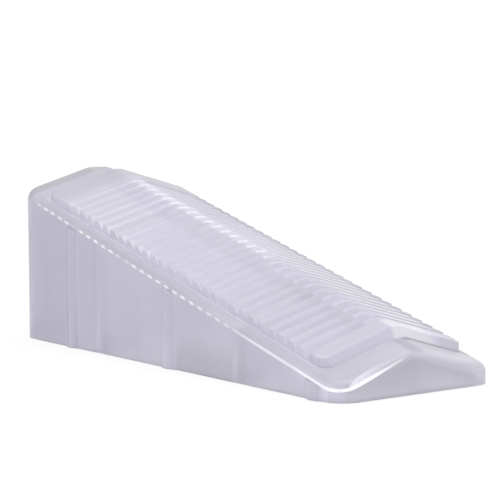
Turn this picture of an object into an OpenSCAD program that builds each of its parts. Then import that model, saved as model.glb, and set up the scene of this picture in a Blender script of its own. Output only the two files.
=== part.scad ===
// Tile levelling wedge: one clear moulded piece, hollow from below.
// It slides thin end first through the window of a levelling clip. The gabled ramp lifts the
// clip, and the saw teeth of the raised pad hold the wedge where it was pushed to.
// X runs along the ramp from the tall back to the thin front, Y across, Z up from the tile.

/* [Body] */
// Length over all
body_l = 75; // [60:1:110]
// Width over all
body_w = 26; // [20:0.5:40]
// Height of the side walls at the tall back end
back_h = 22.5; // [15:0.5:32]
// Height of the side walls at the thin front end
front_h = 1.9; // [1.6:0.1:4]
// Rise of the gabled top from the side walls to its ridge
gable_rise = 3.3; // [1:0.1:6]
// Width of the flat along the ridge
ridge_w = 3; // [1:0.5:6]
// Radius of the four upright corners
corner_r = 3; // [2:0.1:5]
// Radius of the rounding along the rim of the top
rim_r = 1.25; // [0.4:0.05:1.5]

/* [Hollow underside] */
// Thickness of the side walls and of the back wall
wall = 1.5; // [1:0.1:3]
// Thickness of the front wall at its foot
front_wall = 2.6; // [2:0.1:6]
// Thickness of the roof under the ramp
roof = 1.25; // [1:0.05:3]
// Thickness of the cross ribs
rib_t = 1.5; // [1:0.1:3]
// Distance of each cross rib from its own end of the wedge
rib_from_end = 21.1; // [16:0.1:26]
// Radius in the corners of the hollow bays
bay_r = 1; // [0.4:0.1:2]

/* [Side ribs] */
// Places of the half-round side ribs, measured from the back end
side_rib_at = [14.6, 39.2, 70.2];
// Width of a side rib at its foot
side_rib_w = 3.3; // [2:0.1:5]
// Width that a side rib tapers to at the height of the back end
side_rib_top_w = 2; // [1:0.1:4]
// How far a side rib stands out of the wall
side_rib_out = 0.55; // [0.3:0.05:1]
// Drop of a side rib's top below the edge of the ramp
side_rib_drop = 1.2; // [0.5:0.1:3]

/* [Serrated pad] */
// Height of the pad above the ramp
pad_h = 1.15; // [0.6:0.05:2]
// Width of the flat along the pad's own ridge
pad_ridge_w = 1.5; // [0.5:0.1:6]
// Border between the pad and the sides of the body
pad_side = 1.3; // [0.5:0.1:4]
// Border behind the pad, at its foot
pad_back = 5.6; // [3:0.1:12]
// Border in front of the pad, at its foot
pad_front = 4.2; // [3:0.1:10]
// Length of the slope at the back end of the pad
pad_lead_back = 1.1; // [0.2:0.1:3]
// Length of the steep slope at the front end of the pad
pad_lead_front = 0.6; // [0.2:0.1:3]
// Radius of the pad's corners
pad_r = 2; // [0.5:0.1:4]

/* [Saw teeth] */
// Spacing of the teeth along the wedge
tooth_pitch = 2.03; // [1.4:0.01:4]
// Depth of the notch behind each tooth
tooth_depth = 0.85; // [0.3:0.05:1.8]
// Length of a notch at the top, less than the spacing
notch_l = 1.1; // [0.5:0.05:1.3]
// Smooth length of pad before the first notch
smooth_back = 6.13; // [2:0.1:20]
// Smooth length of pad after the last notch
smooth_front = 1.4; // [1:0.1:10]

/* [Hidden] */
curve_fn = 64;
corner_steps = 12;
rim_steps = 8;
deep = 4;
far_out = 200;

back_x = -body_l / 2;
front_x = body_l / 2;
side_y = body_w / 2;

// Fall of the ramp for each millimetre of length, and rise of a flank for each of width.
ramp = (back_h - front_h) / body_l;
flank = gable_rise / (side_y - ridge_w / 2);
flank_angle = atan(flank);

// Height of the ramp's edge over a side wall, and of any point of the gabled top.
function edge_z(x) = back_h - ramp * (x - back_x);
function top_z(x, y) = edge_z(x) + min(flank * (side_y - abs(y)), gable_rise);

// The rounding of the rim is drawn by a ball that rolls along under the top. This is how far
// its middle lies under a flank and under the flat of the ridge, and its place at the ridge.
flank_sink = rim_r * norm([ramp, flank, 1]);
ridge_sink = rim_r * norm([ramp, 1]);
ridge_ball_y = ridge_w / 2 - (flank_sink - ridge_sink) / flank;

rib_back_x = back_x + rib_from_end;
rib_front_x = front_x - rib_from_end;

// The bays of the hollow, each as its two ends along X.
BAYS = [
    [back_x + wall, rib_back_x - rib_t / 2],
    [rib_back_x + rib_t / 2, rib_front_x - rib_t / 2],
    [rib_front_x + rib_t / 2, front_x - front_wall]
];

pad_x0 = back_x + pad_back;
pad_x1 = front_x - pad_front;
teeth_x0 = pad_x0 + smooth_back;
tooth_n = floor((pad_x1 - pad_lead_front - smooth_front - teeth_x0) / tooth_pitch);

// Rectangle between two places along X, with round corners.
module round_plan(x0, x1, w, r) {
    translate([x0 + r, -w / 2]) square([x1 - x0 - 2 * r, w]);
    translate([x0, -w / 2 + r]) square([x1 - x0, w - 2 * r]);
    for (x = [x0 + r, x1 - r], y = [-w / 2 + r, w / 2 - r])
        translate([x, y]) circle(r, $fn = curve_fn);
}

// Points over the ball from the wall's direction to the direction of the top above it.
function over_rim(middle, wall_way, top_way) =
    let (w = wall_way / norm(wall_way), t = top_way / norm(top_way), turn = acos(w * t))
    [for (i = [0 : rim_steps]) let (part = turn * i / rim_steps)
        middle + rim_r * (sin(turn - part) * w + sin(part) * t) / sin(turn)];

// One upright corner of the skin: a point at its foot and the points over the rim, for each
// step from the end face round to the side wall.
function corner_points(end, side) = [for (k = [0 : corner_steps]) let (
    turn = 90 * k / corner_steps,
    way = [end * cos(turn), side * sin(turn), 0],
    foot = [end * (front_x - corner_r), side * (side_y - corner_r), 0] + corner_r * way,
    plan = foot - rim_r * way,
    middle = [plan[0], plan[1], top_z(plan[0], plan[1]) - flank_sink]
) each concat([foot], over_rim(middle, way, [ramp, side * flank, 1]))];

// The end of the ridge on one side: the rim's points turn from the flat to the flank.
function ridge_points(end, side) = let (
    x = end * (front_x - rim_r),
    middle = [x, side * ridge_ball_y, top_z(x, 0) - ridge_sink]
) [for (part = [0, 0.5, 1]) each over_rim(middle, [end, 0, 0], [ramp, side * flank * part, 1])];

// Outer skin, drawn tight over the points of the four corners and of the ridge's two ends.
module skin() {
    points = [for (end = [-1, 1], side = [-1, 1])
        each concat(corner_points(end, side), ridge_points(end, side))];
    hull() polyhedron(points, [for (i = [2 : len(points) - 1]) [0, i - 1, i]]);
}

// Radius of a round that shows a given width and stands out of the wall as a side rib does.
function rib_round(w) = (pow(w / 2, 2) + pow(side_rib_out, 2)) / (2 * side_rib_out);

// Half-round rib that stands out of a side wall and ends under the edge of the ramp. It is
// part of a cone that tapers upwards, tilted so that its outermost line stands upright.
module side_rib(x, side) {
    foot_r = rib_round(side_rib_w);
    end_r = rib_round(side_rib_top_w);
    tilt = atan((foot_r - end_r) / back_h);
    intersection() {
        translate([x, side * (side_y + side_rib_out - foot_r), 0]) rotate([-side * tilt, 0, 0])
            cylinder(h = back_h, r1 = foot_r, r2 = end_r, $fn = curve_fn);
        rotate([90, 0, 0]) linear_extrude(far_out, center = true) polygon([
            [x - foot_r, 0],
            [x + foot_r, 0],
            [x + foot_r, edge_z(x + foot_r) - side_rib_drop],
            [x - foot_r, edge_z(x - foot_r) - side_rib_drop]
        ]);
        translate([x - foot_r, side * side_y - foot_r, 0]) cube([2 * foot_r, 2 * foot_r, back_h]);
    }
}

// A side view run straight across at a given tilt. On a flank the heights are shortened by
// the tilt's cosine, so that they are true again when measured upright.
module tilted_run(top, tilt) {
    first = top[0];
    last = top[len(top) - 1];
    rotate([tilt, 0, 0]) rotate([90, 0, 0]) linear_extrude(far_out, center = true) polygon(concat(
        [for (p = top) [p[0], p[1] * cos(tilt)]],
        [[last[0], -deep], [first[0], -deep]]
    ));
}

// All that lies under a side view along a ridge of width w and, falling away, on both flanks.
module under_gable(top, w) {
    intersection() {
        tilted_run(top, 0);
        translate([0, -w / 2, 0]) tilted_run(top, flank_angle);
        translate([0, w / 2, 0]) tilted_run(top, -flank_angle);
    }
}

// Height over the ridge line's own place, raised or sunk by a given amount.
function ridge_z(x, up) = edge_z(x) + gable_rise + up;

// The hollow bays, open at the base, under a roof of even thickness.
module hollow() {
    intersection() {
        under_gable([for (x = [back_x, front_x]) [x, ridge_z(x, -roof)]], ridge_w);
        union() {
            for (bay = BAYS)
                translate([0, 0, -deep]) linear_extrude(back_h + gable_rise + deep)
                    round_plan(bay[0], bay[1], body_w - 2 * wall, bay_r);
        }
    }
}

// Height of the pad's narrower ridge over the flat of the body's ridge. Its flanks run on
// up to it, parallel to the flanks of the body.
crest_h = pad_h + flank * (ridge_w - pad_ridge_w) / 2;

// Side view of the pad's top, from its back foot to its front foot. Behind each tooth a notch
// slopes down towards the front and ends at a steep wall, square to the ramp, that faces back.
PAD_TOP = concat(
    [[pad_x0, ridge_z(pad_x0, 0)], [pad_x0 + pad_lead_back, ridge_z(pad_x0 + pad_lead_back, crest_h)]],
    [for (i = [0 : tooth_n - 1]) let (x = teeth_x0 + i * tooth_pitch) each [
        [x, ridge_z(x, crest_h)],
        [x + notch_l - tooth_depth * ramp, ridge_z(x + notch_l, crest_h - tooth_depth)],
        [x + notch_l, ridge_z(x + notch_l, crest_h)]
    ]],
    [[pad_x1 - pad_lead_front, ridge_z(pad_x1 - pad_lead_front, crest_h)], [pad_x1, ridge_z(pad_x1, 0)]]
);

// Serrated pad: its outline in plan, under the ridge and both flanks at once, so that each
// notch runs over the ridge and is mitred there. The hollow then cuts off what is too deep.
module pad() {
    intersection() {
        translate([0, 0, front_h / 2]) linear_extrude(back_h + gable_rise)
            round_plan(pad_x0, pad_x1, body_w - 2 * pad_side, pad_r);
        under_gable(PAD_TOP, pad_ridge_w);
    }
}

module wedge() {
    color([0.84, 0.83, 0.88, 0.6])
    difference() {
        union() {
            skin();
            pad();
            for (at = side_rib_at, side = [-1, 1]) side_rib(back_x + at, side);
        }
        hollow();
    }
}

wedge();
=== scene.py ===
import math
import bmesh
import bpy
from mathutils import Matrix, Vector

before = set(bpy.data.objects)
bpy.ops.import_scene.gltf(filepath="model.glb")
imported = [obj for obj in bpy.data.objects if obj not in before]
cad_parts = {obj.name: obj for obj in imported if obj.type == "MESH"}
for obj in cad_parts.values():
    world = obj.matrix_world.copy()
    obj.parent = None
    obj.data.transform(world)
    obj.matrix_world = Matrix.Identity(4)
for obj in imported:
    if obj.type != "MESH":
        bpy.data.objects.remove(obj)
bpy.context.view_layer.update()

# The camera. Its place, turn and lens were solved from the edges of the wedge in the photo: it
# stands low off the thin front corner, a quarter of a metre away, and looks along the near side.
camera_place = Vector((0.20316, -0.15134, 0.03877))
camera_yaw = math.radians(52.944)
camera_pitch = math.radians(5.328)
camera_roll = math.radians(0.155)
camera_lens, camera_sensor = 131.59, 36.0
camera_near, camera_far = 0.005, 200.0
camera_data = bpy.data.cameras.new("photo_view")
camera_data.sensor_width = camera_sensor
camera_data.lens = camera_lens
camera_data.clip_start = camera_near
camera_data.clip_end = camera_far
camera = bpy.data.objects.new("photo_view", camera_data)
camera_turn = (Matrix.Rotation(camera_yaw, 4, "Z")
               @ Matrix.Rotation(math.pi / 2 - camera_pitch, 4, "X")
               @ Matrix.Rotation(-camera_roll, 4, "Z"))
camera.matrix_world = Matrix.Translation(camera_place) @ camera_turn
bpy.context.scene.collection.objects.link(camera)
bpy.context.scene.camera = camera


# The wedge. One clear plastic moulding, made in one shot and hollow from below. Its shape is the
# CAD model's. Its finish is a translucent plastic, with the lights and darks that clear plastic
# shows laid on it, in the wedge's own coordinates, where the photo has them.
class Wire:
    """A socket of the node tree in hand. Sums, differences and products add Math nodes."""
    tree = None

    def __init__(self, socket):
        self.socket = socket

    @classmethod
    def node(cls, kind, settings=None, inputs=None, out=0):
        """Adds a node: its type, then its settings, then the values or wires of its sockets."""
        made = cls.tree.nodes.new(kind)
        for name, value in (settings or {}).items():
            setattr(made, name, value)
        for name, value in (inputs or {}).items():
            if isinstance(value, Wire):
                cls.tree.links.new(value.socket, made.inputs[name])
            else:
                made.inputs[name].default_value = value
        return cls(made.outputs[out]) if made.outputs else None

    @classmethod
    def maths(cls, operation, *values):
        return cls.node("ShaderNodeMath", {"operation": operation}, dict(enumerate(values)))

    def __add__(self, other):
        return self.maths("ADD", self, other)

    def __sub__(self, other):
        return self.maths("SUBTRACT", self, other)

    def __mul__(self, other):
        return self.maths("MULTIPLY", self, other)

    __radd__ = __add__
    __rmul__ = __mul__

    def __rsub__(self, other):
        return self.maths("SUBTRACT", other, self)


def new_finish(name):
    """Makes a material with no nodes and takes its tree in hand."""
    finish = bpy.data.materials.new(name)
    finish.use_nodes = True
    finish.node_tree.nodes.clear()
    Wire.tree = finish.node_tree
    return finish


def rise(value, low, high):
    """0 below low, 1 above high, and a smooth step between them."""
    return Wire.node("ShaderNodeMapRange", {"interpolation_type": "SMOOTHSTEP"},
                     {"Value": value, "From Min": low, "From Max": high})


def fall(value, low, high):
    """1 below low, 0 above high, and a smooth step between them."""
    return 1 - rise(value, low, high)


def between(value, low, high, soft):
    """1 from low to high and 0 outside, each edge as wide as soft."""
    half = soft / 2
    return rise(value, low - half, low + half) * fall(value, high - half, high + half)


def lay(under, tone, mask):
    """Lays a tone over the one below it where the mask is 1."""
    return Wire.node("ShaderNodeMix", {"data_type": "FLOAT"}, {0: mask, 2: under, 3: tone})


plastic = new_finish("clear_plastic")

# Places on the wedge in millimetres: x from the tall back to the thin front, y across, z up.
# Depth is measured straight down from the gabled top: it is below 0 on the pad, and the walls
# begin at about 1. Below, a pair is where a step starts and ends, and a third number is how
# soft both edges of a band are. A tone is a brightness from 0, black, to 1, white.
mm_per_metre = 1000.0
half_length, half_width = 37.5, 13.0
middle_height, ramp_slope = 12.2, 20.6 / 75
flank_width, gable_rise = 11.5, 3.3
spot = Wire.node("ShaderNodeTexCoord", out="Object")
spot_mm = Wire.node("ShaderNodeVectorMath", {"operation": "SCALE"},
                    {0: spot, "Scale": mm_per_metre})
x, y, z = [Wire.node("ShaderNodeSeparateXYZ", {}, {0: spot_mm}, axis) for axis in range(3)]
aside = Wire.maths("ABSOLUTE", y)
gable = Wire.maths("MINIMUM", (half_width - aside) * (gable_rise / flank_width), gable_rise)
depth = middle_height - x * ramp_slope + gable - z

near_edge, ridge_middle = (-1.0, 0.5), (0.5, 2.0)
top_end, pad_foot = (0.7, 1.0), (-0.22, -0.02)
near_half = fall(y, *near_edge)
far_half = rise(y, *ridge_middle)
on_top = fall(depth, *top_end)
on_pad = fall(depth, *pad_foot)

# The walls. The hollow shows through them, with painted shade for its dark inside: a darker foot
# under each bay and a dark pool in the middle. A line at each cross rib comes out pale by itself
# and is toned down, a painted pale line of light runs near the back, and the back corners are
# darker.
back_bay_tone, middle_bay_tone, front_bay_tone, back_wall_tone = 0.75, 0.805, 0.785, 0.72
middle_bay, front_bay_start, back_wall_fade = (-16.3, 2.0, 0.6), (1.8, 2.2), (-27.5, -22.0)
tone = lay(back_bay_tone, middle_bay_tone, between(x, *middle_bay))
tone = lay(tone, front_bay_tone, rise(x, *front_bay_start))
tone = lay(tone, back_wall_tone, fall(x, *back_wall_fade))

bay_feet, foot_soft = [(-33.5, -25.1), (-21.2, -16.6), (-16.3, 1.6), (2.1, 16.0), (16.7, 33.4)], 0.6
foot_height, foot_slope, foot_fade, foot_shade = 3.6, 0.02, 1.2, 0.955
foot_top = foot_height - (x + half_length) * foot_slope
foot = fall(z, foot_top - foot_fade, foot_top + foot_fade / 2)
foot = foot * sum(between(x, *span, foot_soft) for span in bay_feet)
tone = lay(tone, tone * foot_shade, foot)

shade_pool, shade_pool_height, shade_pool_tone = (2.0, 16.2, 1.0), (1.5, 6.0), 0.64
tone = lay(tone, shade_pool_tone, between(x, *shade_pool) * fall(z, *shade_pool_height))
cross_ribs, cross_rib_shade = [(-17.2, -15.8, 0.8), (15.8, 17.0, 0.8)], 0.965
tone = lay(tone, tone * cross_rib_shade, sum(between(x, *span) for span in cross_ribs))
back_light_line, back_light_line_tone = (-35.8, -34.4, 0.5), 0.79
tone = lay(tone, back_light_line_tone, between(x, *back_light_line))
back_corner, back_corner_side, back_corner_tone = (-36.6, -36.1), (10.0, 11.0), 0.66
tone = lay(tone, back_corner_tone, fall(x, *back_corner) * rise(aside, *back_corner_side))

# The side ribs, moulded on the walls. The two to the back carry painted shade on their back half,
# painted light on their front half and on the wall along their front edge, and the third shows as
# a narrow strip of painted light in a dark stretch of wall.
side_ribs = [(-22.9, 0.62, 0.80), (1.7, 0.77, 0.79)]
rib_stands_out, rib_front, rib_edge_light_tone = (13.02, 13.2), (-0.5, 0.5), 0.83
rib_edge, rib_back_half, rib_front_half = (1.2, 1.75, 0.2), (-1.6, -0.3, 0.3), (-0.1, 1.4, 0.3)
on_side_rib = rise(aside, *rib_stands_out)
for rib_x, rib_shade_tone, rib_light_tone in side_ribs:
    past_rib = x - rib_x
    rib_edges = between(Wire.maths("ABSOLUTE", past_rib), *rib_edge)
    tone = lay(tone, rib_edge_light_tone, rib_edges * rise(past_rib, *rib_front))
    tone = lay(tone, rib_shade_tone, on_side_rib * between(past_rib, *rib_back_half))
    tone = lay(tone, rib_light_tone, on_side_rib * between(past_rib, *rib_front_half))
front_stretch, front_stretch_tone = (31.0, 37.4, 0.4), 0.70
front_rib_light, front_rib_light_tone = (34.0, 35.3, 0.3), 0.83
tone = lay(tone, front_stretch_tone, between(x, *front_stretch))
tone = lay(tone, front_rib_light_tone, between(x, *front_rib_light))

# The border round the pad, over the thick walls. It is darker over the back wall, on the far
# flank and at the front end of the ridge, and a pale line runs along each side.
near_border_tone, far_border_tone, back_border_tone = 0.71, 0.58, 0.56
back_border = fall(x, -34.8, -33.9)
border = lay(near_border_tone, far_border_tone, far_half)
border = lay(border, back_border_tone, back_border)

front_border, front_near, front_far = (33.0, 33.4), (-10.0, -4.0), (1.0, 3.0)
front_near_tone, front_middle_tone, front_far_tone = 0.66, 0.72, 0.75
front_tone = lay(front_middle_tone, front_far_tone, rise(y, *front_far))
front_tone = lay(front_tone, front_near_tone, fall(y, *front_near))
border = lay(border, front_tone, rise(x, *front_border))

# A painted shadow along the foot of the pad's front end on the far flank.
pad_end_shadow, pad_end_far, pad_end_shadow_tone = (33.2, 33.8, 0.2), (0.5, 1.0), 0.42
border = lay(border, pad_end_shadow_tone, between(x, *pad_end_shadow) * rise(y, *pad_end_far))
ridge_end, ridge_end_width, ridge_end_tone = (33.2, 33.6), (0.6, 1.4), 0.57
border = lay(border, ridge_end_tone, fall(aside, *ridge_end_width) * rise(x, *ridge_end))
side_line, side_line_length, side_line_tone = (11.6, 12.05, 0.2), (-31.8, 32.0, 1.0), 0.92
border = lay(border, side_line_tone, between(aside, *side_line) * between(x, *side_line_length))
rim_band, rim_band_side, rim_band_tone = (0.35, 0.95, 0.3), (12.2, 12.6), 0.76
border = lay(border, rim_band_tone, between(depth, *rim_band) * rise(aside, *rim_band_side))
tone = lay(tone, border, on_top)

# The pad, raised on the ramp in the same shot. It is smooth at both ends. Phase runs from 0 at
# the start of a notch to 1 at the next one, and the notch takes its first half.
smooth_back_tone, back_teeth_tone, middle_teeth_tone, front_teeth_tone = 0.705, 0.825, 0.775, 0.765
smooth_back_end, middle_teeth, front_teeth = (-28.0, -25.0), (-12.0, -6.0), (5.0, 20.0)
pad = lay(back_teeth_tone, middle_teeth_tone, rise(x, *middle_teeth))
pad = lay(pad, smooth_back_tone, fall(x, *smooth_back_end))
pad = lay(pad, front_teeth_tone, rise(x, *front_teeth))

first_notch, tooth_pitch = -25.77, 2.03
toothed_length, notch_wall = (-25.8, 30.2, 0.1), (0.50, 0.56)
phase = Wire.maths("FRACT", (x - first_notch) * (1 / tooth_pitch))
in_teeth = between(x, *toothed_length)
in_notch = fall(phase, *notch_wall) * in_teeth

# The notches on the near flank, painted paler than the teeth as painted light, and clearest in the
# back rows, which get painted light in the notches and painted shade on the teeth; painted shade
# lies beside the crest.
notch_start, notch_fade, lit_notch_tone, lit_notch_front_tone = (-12.0, -4.0), (8.0, 18.0), 0.865, 0.815
front_notches = in_notch * rise(x, *notch_start) * near_half
pad = lay(pad, lay(lit_notch_tone, lit_notch_front_tone, rise(x, *notch_fade)), front_notches)
back_rows_end, back_land, back_land_shade = (-14.0, -7.0), (0.60, 0.68), 0.94
back_notch, back_notch_light = (0.07, 0.55, 0.04), 1.17
back_rows = in_teeth * fall(x, *back_rows_end) * near_half
pad = lay(pad, pad * back_land_shade, back_rows * rise(phase, *back_land))
pad = lay(pad, pad * back_notch_light, back_rows * between(phase, *back_notch))
crest_foot, crest_foot_shade = (-4.2, -0.6, 1.6), 0.92
pad = lay(pad, pad * crest_foot_shade, between(y, *crest_foot))

# The edges of the pad: painted highlights, drops of light where a notch runs out at the side, then
# the side itself, and the smooth front with its slope and its near corner.
drop_side, drop_fade, drop_highlight_tone, drop_highlight_front_tone = (10.8, 11.2), (-10.0, 2.0), 0.96, 0.80
drop_highlights = lay(drop_highlight_tone, drop_highlight_front_tone, rise(x, *drop_fade))
pad = lay(pad, drop_highlights, in_notch * rise(aside, *drop_side))
pad_side, pad_side_tone = (11.55, 11.68), 0.88
pad = lay(pad, pad_side_tone, rise(aside, *pad_side))
smooth_front, smooth_front_tone = (29.6, 30.6), 0.745
pad = lay(pad, smooth_front_tone, rise(x, *smooth_front) * near_half)
front_slope, front_slope_tone = (32.3, 32.5), 0.80
pad = lay(pad, front_slope_tone, rise(x, *front_slope) * near_half)
pad_corner, pad_corner_side, pad_corner_tone = (30.5, 31.5), (-11.4, -10.6), 0.82
pad = lay(pad, pad_corner_tone, rise(x, *pad_corner) * fall(y, *pad_corner_side))

# The far flank: one fine painted highlight line to each tooth, on the tooth itself towards the
# front and, fainter, in the notch at the back.
far_flank, far_front = (0.7, 1.2), (-10.0, 0.0)
far_land_highlight_tone, far_notch_tone, far_back_land_tone, far_back_notch_highlight_tone = 1.0, 0.75, 0.68, 0.88
far_back_highlight_lines = lay(far_back_land_tone, far_back_notch_highlight_tone, in_notch)
far_highlight_lines = lay(far_back_highlight_lines, lay(far_land_highlight_tone, far_notch_tone, in_notch), rise(x, *far_front))
pad = lay(pad, far_highlight_lines, rise(y, *far_flank) * in_teeth)
far_smooth, far_smooth_end, far_smooth_tone = (1.0, 3.0), (-25.6, -25.2), 0.66
pad = lay(pad, far_smooth_tone, rise(y, *far_smooth) * fall(x, *far_smooth_end))
far_edge, far_edge_tone = (9.3, 10.3), 0.67
pad = lay(pad, far_edge_tone, rise(y, *far_edge))

# The pad's crest, with painted highlights: a short stroke of light on each notch, which reaches
# further down the near side towards the front, a bright far end, and a bright slope at the back.
stroke_length, stroke_near, stroke_far = (0.06, 0.53, 0.06), (-0.8, -0.5), (0.8, 2.6)
stroke_reach, stroke_reach_start = 1.5, (5.0, 12.0)
stroke_highlight_tone, stroke_highlight_front_tone, stroke_fade = 1.0, 0.90, (4.0, 12.0)
crest_highlights = between(phase, *stroke_length) * in_teeth * fall(y, *stroke_far)
crest_highlights = crest_highlights * rise(y + rise(x, *stroke_reach_start) * stroke_reach, *stroke_near)
pad = lay(pad, lay(stroke_highlight_tone, stroke_highlight_front_tone, rise(x, *stroke_fade)), crest_highlights)
far_end, far_end_side, far_end_fade = (30.1, 30.4), (-0.9, -0.1), (5.0, 8.5)
far_end_highlight_tone, far_end_edge_tone = 1.0, 0.78
far_end_light = lay(far_end_highlight_tone, far_end_edge_tone, rise(y, *far_end_fade))
pad = lay(pad, far_end_light, rise(y, *far_end_side) * rise(x, *far_end))
back_slope, back_slope_width, back_slope_highlight_tone = (-31.0, -30.4), (1.5, 3.0), 0.95
pad = lay(pad, back_slope_highlight_tone, fall(x, *back_slope) * fall(aside, *back_slope_width))
tone = lay(tone, pad, on_pad)

# The front end. Its far half is darker below a line that falls away from the ridge and paler
# above it, and its near half is dark, with painted light making its foot paler.
front_end_start, front_end_top = (36.7, 37.3), (0.0, 0.2)
front_end = rise(x, *front_end_start) * rise(depth, *front_end_top)
far_line_slope, far_line, far_line_end = 0.29, (4.05, 4.35), (9.0, 10.0)
far_dark = fall(z + y * far_line_slope, *far_line) * fall(y, *far_line_end)
end_tone, end_far_dark_tone, end_near_tone, end_near = 0.75, 0.655, 0.56, (-3.0, 3.0)
end_light = lay(lay(end_tone, end_far_dark_tone, far_dark), end_near_tone, fall(y, *end_near))
tone = lay(tone, end_light, front_end)
end_foot_height, end_foot_near, end_foot_light = (0.0, 2.0), (-4.0, 1.0), 1.17
end_foot = fall(z, *end_foot_height) * front_end * fall(y, *end_foot_near)
tone = lay(tone, tone * end_foot_light, end_foot)

# Painted highlights along the rim: dashes below the teeth, some of them weak, which join into a
# line towards the front and run round the near corner, where the line gets narrower to the ridge.
line_middle_depth, line_slope = 0.97, 0.0078
front_line_aside, front_line_depth, front_line_slope = 10.0, 0.74, 0.055
line_depth = Wire.maths("MINIMUM", line_middle_depth + x * line_slope,
                        front_line_depth + (aside - front_line_aside) * front_line_slope)
from_line = depth - line_depth
narrow_start, narrow_near, narrow_width, narrow_light = (36.0, 37.0), (-8.0, -3.0), 0.8, 0.5
thin_end, thin_width = (14.0, 26.0), 0.3
narrowing = rise(x, *narrow_start) * rise(y, *narrow_near)
line_width = (-0.19, 0.19, 0.12)
thinness = 1 + narrowing * narrow_width + fall(x, *thin_end) * thin_width
rim_highlight = between(from_line * thinness, *line_width)

rim_side, rim_front, line_start = (11.9, 12.3), (36.4, 36.8), (-33.5, -30.5)
wall_face, ridge_gap = (13.02, 13.10), (1.5, 3.5)
outer = Wire.maths("MAXIMUM", rise(aside, *rim_side), rise(x, *rim_front))
rim_highlight = rim_highlight * outer * rise(x, *line_start) * fall(aside, *wall_face)
rim_highlight = rim_highlight * rise(aside, *ridge_gap) * lay(1.0, near_half, rise(x, *narrow_start))

dash_pitch, dash_start, dash_fade, dash_end = 1.957, -14.5, (5.0, 28.0), (14.0, 20.0)
line_tone, line_front_tone, line_front = 0.72, 1.0, (26.0, 34.0)
weak_dashes, weak_loss = [(-27.9, -26.5, 0.6), (-22.9, -21.7, 0.6), (-10.6, -8.5, 0.6)], 0.6
dash = Wire.maths("COSINE", (x - dash_start) * (2 * math.pi / dash_pitch)) * 0.5 + 0.5
whole_line = lay(line_tone, line_front_tone, rise(x, *line_front))
rim_light = lay(dash * fall(x, *dash_fade), whole_line, rise(x, *dash_end))
rim_light = rim_light * (1 - narrowing * narrow_light)
rim_light = rim_light * (1 - sum(between(x, *span) for span in weak_dashes) * weak_loss)

# The lip: a painted highlight, a bright sickle above that line on the near side of the front end.
lip_x, lip_y, lip_slope, lip_edge = 37.0, -10.0, 0.17, (-0.12, 0.12)
lip_foot, lip_length, lip_fade = (-0.12, 0.0), (-12.4, -5.0, 1.5), (-11.0, -4.0)
lip_highlight_tone, lip_foot_tone, lip_foot_fade = 0.93, 1.0, (-0.5, -0.1)
lip_back = lip_x - (y - lip_y) * lip_slope
lip_highlight = rise(x - lip_back, *lip_edge) * fall(from_line, *lip_foot) * between(y, *lip_length)
lip_light = lay(lip_highlight_tone, lip_foot_tone, rise(from_line, *lip_foot_fade))
tone = lay(tone, lip_light, lip_highlight * fall(y, *lip_fade))
line_cover, dark_cover = 0.85, 0.15
tone = lay(tone, 1.0, rim_highlight * (rim_light * line_cover + dark_cover))

# The rim highlight and the crest strokes also glow a little: painted light, standing in for light
# that is gathered inside the plastic.
line_glow, line_front_glow, line_glow_fade = 0.42, 0.24, (22.0, 34.0)
stroke_glow, stroke_glow_end = 0.12, (2.0, 10.0)
line_glowing = lay(line_glow, line_front_glow, rise(x, *line_glow_fade))
glow = rim_highlight * rim_light * rim_light * line_glowing
glow = glow + crest_highlights * on_pad * fall(x, *stroke_glow_end) * stroke_glow

# Faint clouds and upright streaks of the moulding.
cloud_scale, cloud_detail, cloud_depth = 0.22, 2.0, 0.05
streak_scale, streak_detail, streak_depth, streak_stretch = 0.5, 1.0, 0.03, (1.0, 1.0, 0.04)
cloud = Wire.node("ShaderNodeTexNoise", {},
                  {"Vector": spot_mm, "Scale": cloud_scale, "Detail": cloud_detail})
stretched = Wire.node("ShaderNodeVectorMath", {"operation": "MULTIPLY"},
                      {0: spot_mm, 1: streak_stretch})
streak = Wire.node("ShaderNodeTexNoise", {},
                   {"Vector": stretched, "Scale": streak_scale, "Detail": streak_detail})
haze = (cloud - 0.5) * cloud_depth + (streak - 0.5) * streak_depth

# The lilac cast of the plastic, strongest in the walls and weakest where it is thick or bright.
back_lilac, wall_lilac, wall_lilac_start = 0.95, 0.78, (-18.0, -10.0)
top_lilac, border_lilac, end_lilac, bright_tone = 0.65, 0.2, 0.5, (0.90, 0.98)
lilac = lay(lay(back_lilac, wall_lilac, rise(x, *wall_lilac_start)), top_lilac, on_top)
grey_border = on_top * (1 - on_pad) * Wire.maths("MAXIMUM", far_half, back_border)
lilac = lay(lilac, border_lilac, grey_border)
lilac = lay(lilac, end_lilac, front_end)
lilac = lay(lilac, 0.0, Wire.maths("MAXIMUM", rise(tone, *bright_tone), rim_highlight))
clear_cast, lilac_cast = (0.96, 0.955, 1.0, 1.0), (0.97, 0.945, 1.105, 1.0)
cast = Wire.node("ShaderNodeMix", {"data_type": "RGBA", "clamp_factor": True},
                 {0: lilac, 6: clear_cast, 7: lilac_cast}, out=2)
colour = Wire.node("ShaderNodeVectorMath", {"operation": "SCALE"}, {0: cast, "Scale": tone + haze})
surface = Wire.node("ShaderNodeBsdfPrincipled", {}, {
    "Base Color": colour, "Roughness": 0.35, "IOR": 1.4, "Transmission Weight": 0.5,
    "Emission Color": glow, "Emission Strength": 1.0})
Wire.node("ShaderNodeOutputMaterial", {}, {"Surface": surface})
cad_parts["wedge"].material_slots[0].material = plastic

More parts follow.
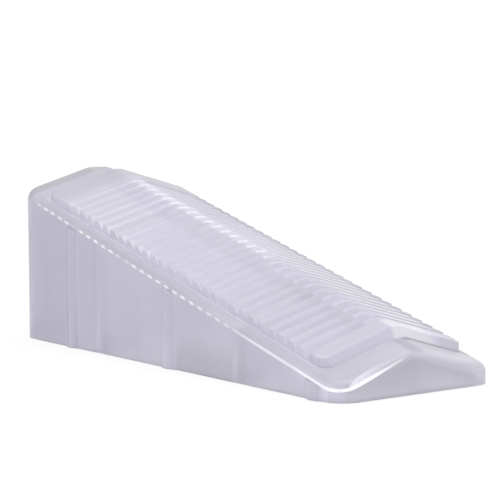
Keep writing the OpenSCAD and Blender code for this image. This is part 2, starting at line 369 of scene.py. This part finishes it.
# The floor. A plain matt white sheet, laid flat just below the wedge and far larger than the
# view. It shows as white, and keeps the wedge's soft shadow.
floor_reach = 60.0
floor_drop = 0.0001
floor_glow = 0.85
floor_paint, white = (0.9, 0.9, 0.9, 1.0), (1.0, 1.0, 1.0, 1.0)
floor_mesh = bpy.data.meshes.new("floor")
floor_shape = bmesh.new()
bmesh.ops.create_grid(floor_shape, x_segments=1, y_segments=1, size=floor_reach,
                      matrix=Matrix.Translation((0, 0, -floor_drop)))
floor_shape.to_mesh(floor_mesh)
floor_shape.free()
floor = bpy.data.objects.new("floor", floor_mesh)
bpy.context.scene.collection.objects.link(floor)


def seen_white():
    """1 for rays that show the background: straight to the camera, off gloss, through plastic."""
    rays = ["Is Camera Ray", "Is Glossy Ray", "Is Transmission Ray"]
    found = [Wire.node("ShaderNodeLightPath", out=ray) for ray in rays]
    return Wire.maths("MAXIMUM", Wire.maths("MAXIMUM", found[0], found[1]), found[2])


floor_white = new_finish("floor_white")
floor_matt = Wire.node("ShaderNodeBsdfDiffuse", {}, {"Color": floor_paint})
floor_light = Wire.node("ShaderNodeEmission", {}, {"Color": white, "Strength": 1.0})
floor_mix = Wire.node("ShaderNodeMixShader", {},
                      {0: seen_white() * floor_glow, 1: floor_matt, 2: floor_light})
Wire.node("ShaderNodeOutputMaterial", {}, {"Surface": floor_mix})
floor_mesh.materials.append(floor_white)

# The studio round the wedge. A plain white backdrop on all sides, which shows as full white,
# also in gloss and through the plastic, and lights the wedge at a slightly lower level.
fill_strength = 0.95
studio = bpy.data.worlds.new("studio")
studio.use_nodes = True
studio.node_tree.nodes.clear()
Wire.tree = studio.node_tree
studio_light = Wire.node("ShaderNodeBackground", {}, {
    "Color": white, "Strength": fill_strength + seen_white() * (1 - fill_strength)})
Wire.node("ShaderNodeOutputWorld", {}, {"Surface": studio_light})
bpy.context.scene.world = studio

# The lamp. One large soft light, hung high and a little beyond the wedge, so that the near wall
# stays a shade darker than the top and the shadow on the floor is faint.
key_strength = 1.3
key_width = math.radians(50)
key_from = Vector((0.1, 0.15, 1.0))
key_data = bpy.data.lights.new("soft_key", "SUN")
key_data.energy = key_strength
key_data.angle = key_width
key = bpy.data.objects.new("soft_key", key_data)
key.rotation_euler = key_from.to_track_quat("Z", "Y").to_euler()
bpy.context.scene.collection.objects.link(key)

bpy.context.scene.view_settings.view_transform = "Standard"
